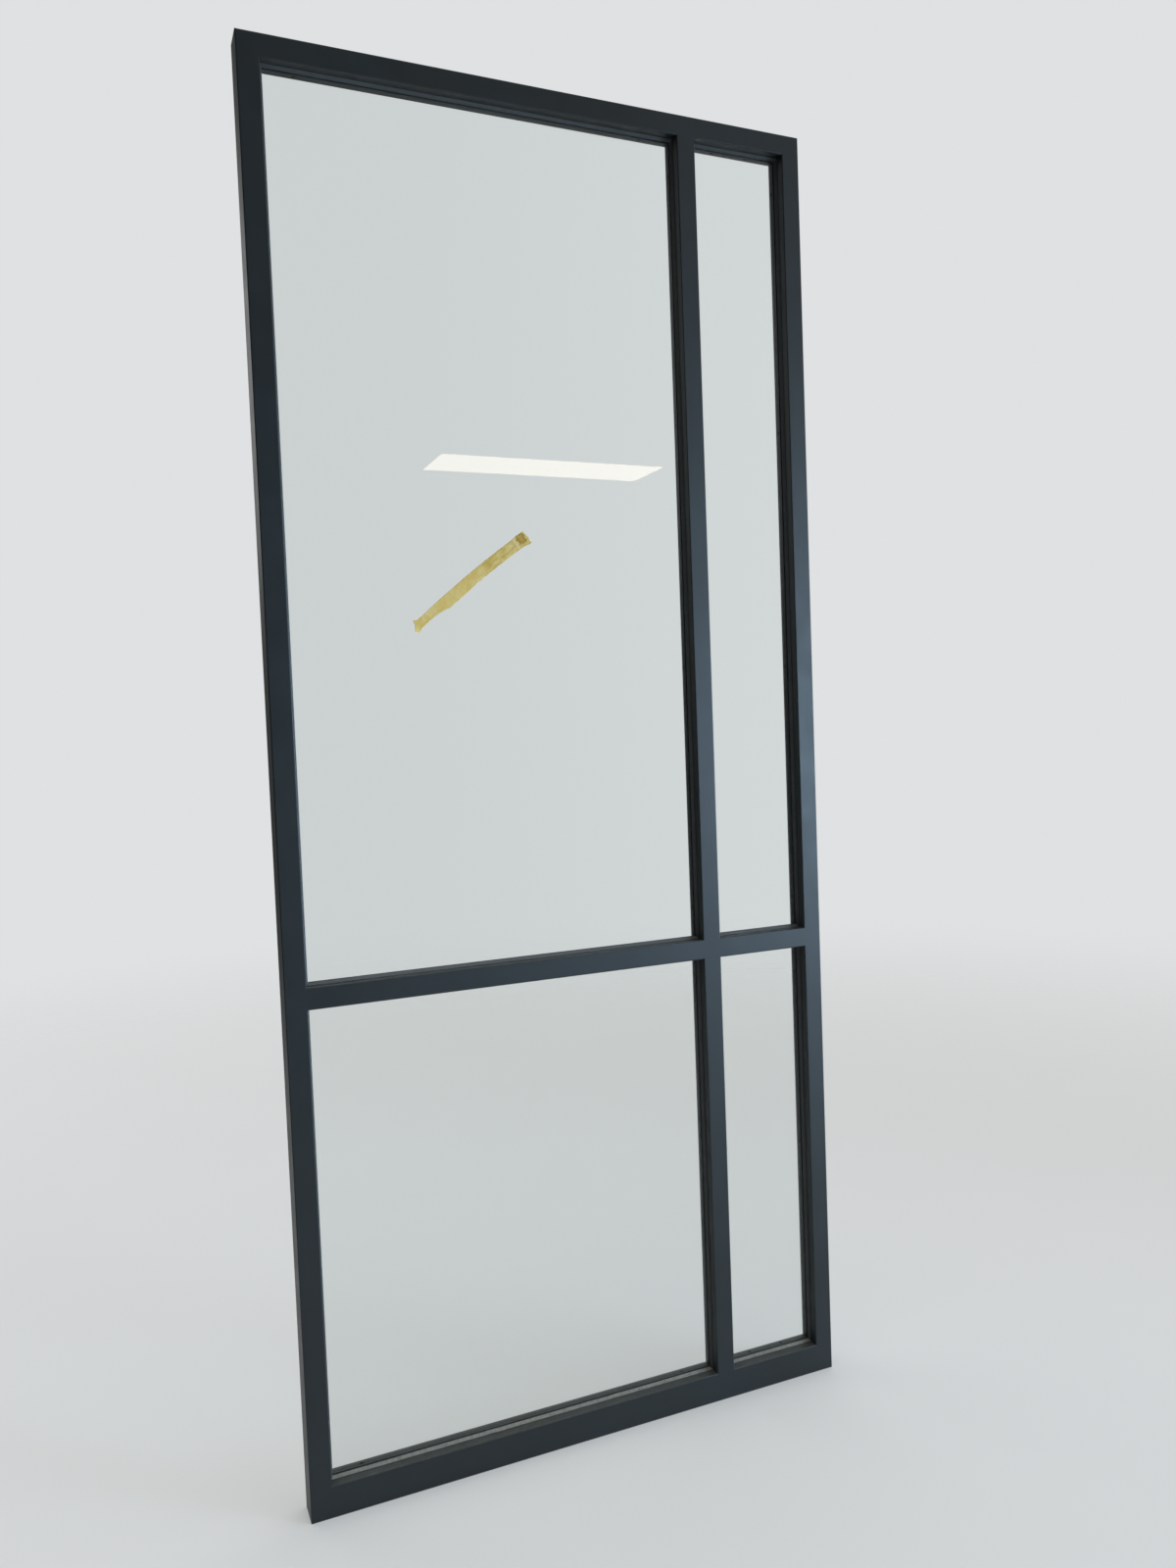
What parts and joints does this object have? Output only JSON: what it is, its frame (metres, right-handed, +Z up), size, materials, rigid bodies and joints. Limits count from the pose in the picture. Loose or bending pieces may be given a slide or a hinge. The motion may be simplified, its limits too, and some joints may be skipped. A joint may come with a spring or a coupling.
{
  "type": "glazed door leaf",
  "caption": "Tall clear-glass door leaf in a slim flush metal frame, divided by a mullion and a transom, glazed from the back with screwed beads.",
  "frame": {"origin": "middle of the leaf's foot: centre of its width and depth, at its underside", "axes": "+Z up, +X to the right as seen from the front, +Y from the flush front face to the beaded back"},
  "size_m": [0.986, 0.05, 2.3],
  "materials": {
    "frame_paint": "satin",
    "clear_glass": "polished",
    "gasket_rubber": "satin",
    "screw_steel": "plated",
    "block_plastic": "matte",
    "tape_paper": "creped"
  },
  "bodies": {
    "root": {"left_stile": "frame_paint", "right_stile": "frame_paint", "top_rail": "frame_paint", "bottom_rail": "frame_paint", "mullion": "frame_paint", "left_transom": "frame_paint", "right_transom": "frame_paint", "left_stile_foot_cap": "frame_paint", "left_stile_head_cap": "frame_paint", "right_stile_foot_cap": "frame_paint", "right_stile_head_cap": "frame_paint", "upper_left_left_bead": "frame_paint", "upper_left_right_bead": "frame_paint", "upper_left_bottom_bead": "frame_paint", "upper_left_top_bead": "frame_paint", "upper_right_left_bead": "frame_paint", "upper_right_right_bead": "frame_paint", "upper_right_bottom_bead": "frame_paint", "upper_right_top_bead": "frame_paint", "lower_left_left_bead": "frame_paint", "lower_left_right_bead": "frame_paint", "lower_left_bottom_bead": "frame_paint", "lower_left_top_bead": "frame_paint", "lower_right_left_bead": "frame_paint", "lower_right_right_bead": "frame_paint", "lower_right_bottom_bead": "frame_paint", "lower_right_top_bead": "frame_paint", "upper_left_glass": "clear_glass", "upper_right_glass": "clear_glass", "lower_left_glass": "clear_glass", "lower_right_glass": "clear_glass", "upper_left_front_gasket": "gasket_rubber", "upper_right_front_gasket": "gasket_rubber", "lower_left_front_gasket": "gasket_rubber", "lower_right_front_gasket": "gasket_rubber", "upper_left_back_gasket": "gasket_rubber", "upper_right_back_gasket": "gasket_rubber", "lower_left_back_gasket": "gasket_rubber", "lower_right_back_gasket": "gasket_rubber", "upper_left_bead_screws": "screw_steel", "upper_right_bead_screws": "screw_steel", "lower_left_bead_screws": "screw_steel", "lower_right_bead_screws": "screw_steel", "upper_left_setting_blocks": "block_plastic", "upper_left_location_blocks": "block_plastic", "upper_right_setting_blocks": "block_plastic", "upper_right_location_blocks": "block_plastic", "lower_left_setting_blocks": "block_plastic", "lower_left_location_blocks": "block_plastic", "lower_right_setting_blocks": "block_plastic", "lower_right_location_blocks": "block_plastic", "masking_tape": "tape_paper"}
  },
  "joints": []
}
